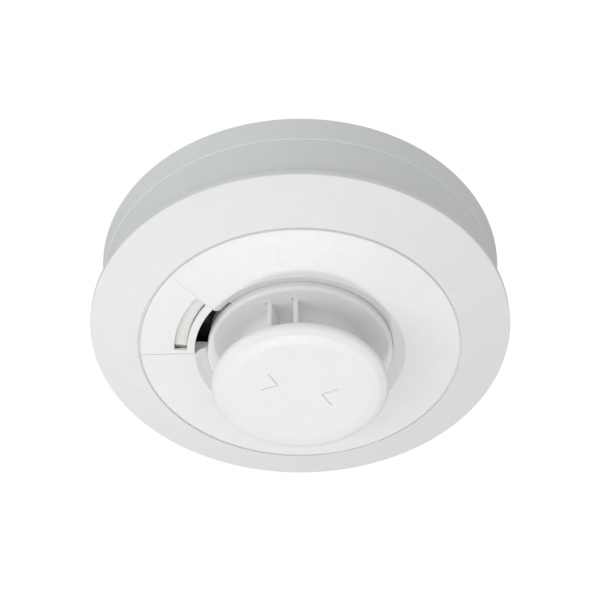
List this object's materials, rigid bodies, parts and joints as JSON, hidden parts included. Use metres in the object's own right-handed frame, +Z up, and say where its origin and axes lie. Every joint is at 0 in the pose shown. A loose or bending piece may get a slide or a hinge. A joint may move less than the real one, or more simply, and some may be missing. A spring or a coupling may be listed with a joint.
{
  "type": "heat detector",
  "caption": "Round ceiling heat detector: twist-on sensing head with a sloping bezel, indicator segment and ribbed turret with a round cap over the thermistor, on a terminal base.",
  "frame": {"origin": "centre of the base's flat ceiling face, where the detector is fixed", "axes": "+Z points up into the ceiling along the detector's axis, so the detector hangs towards -Z; the indicator segment is near -X, at 197 degrees about +Z from +X"},
  "size_m": [0.117, 0.117, 0.0466],
  "materials": {
    "white_moulding": "fine satin moulded grain",
    "black_moulding": "matt",
    "frosted_plastic": "frosted, slightly translucent",
    "brass": "stamped strip",
    "tinned_metal": "bright tin plate",
    "zinc_steel": "bright zinc plate",
    "board_laminate": "satin solder resist",
    "chip_package": "matt moulding compound",
    "capacitor_sleeve": "shrink sleeve",
    "rubber": "matt",
    "epoxy": "dipped, glossy"
  },
  "bodies": {
    "base": {"mounting_base": "white_moulding", "terminal_strip_1": "brass", "terminal_strip_2": "brass", "terminal_strip_3": "brass", "terminal_strip_4": "brass", "clamp_plate_1": "zinc_steel", "clamp_plate_2": "zinc_steel", "clamp_plate_3": "zinc_steel", "clamp_plate_4": "zinc_steel", "terminal_screw_1": "zinc_steel", "terminal_screw_2": "zinc_steel", "terminal_screw_3": "zinc_steel", "terminal_screw_4": "zinc_steel"},
    "head": {"rear_cover": "white_moulding", "contact_blade_1": "tinned_metal", "contact_blade_2": "tinned_metal", "contact_blade_3": "tinned_metal", "contact_blade_4": "tinned_metal", "head_housing": "white_moulding", "front_bezel": "white_moulding", "case_screw_1": "zinc_steel", "case_screw_2": "zinc_steel", "case_screw_3": "zinc_steel", "circuit_board": "board_laminate", "board_screw_1": "zinc_steel", "board_screw_2": "zinc_steel", "board_screw_3": "zinc_steel", "controller_chip": "chip_package", "bridge_rectifier": "chip_package", "voltage_regulator": "chip_package", "smoothing_capacitor": "capacitor_sleeve", "indicator_led_1": "frosted_plastic", "indicator_led_2": "frosted_plastic", "inner_shroud": "black_moulding", "front_disc": "white_moulding", "indicator_segment": "white_moulding", "indicator_lens": "frosted_plastic", "sensor_turret": "white_moulding", "thermistor_bush": "rubber", "thermistor_lead_1": "tinned_metal", "thermistor_lead_2": "tinned_metal", "thermistor_bead": "epoxy", "deflector_cap": "white_moulding"}
  },
  "joints": [
    {"name": "head_twist", "type": "hinge", "parent": "base", "child": "head", "pos_m": [0, 0, -0.0066], "axis": [0, 0, -1], "range_deg": [0, 20]}
  ]
}
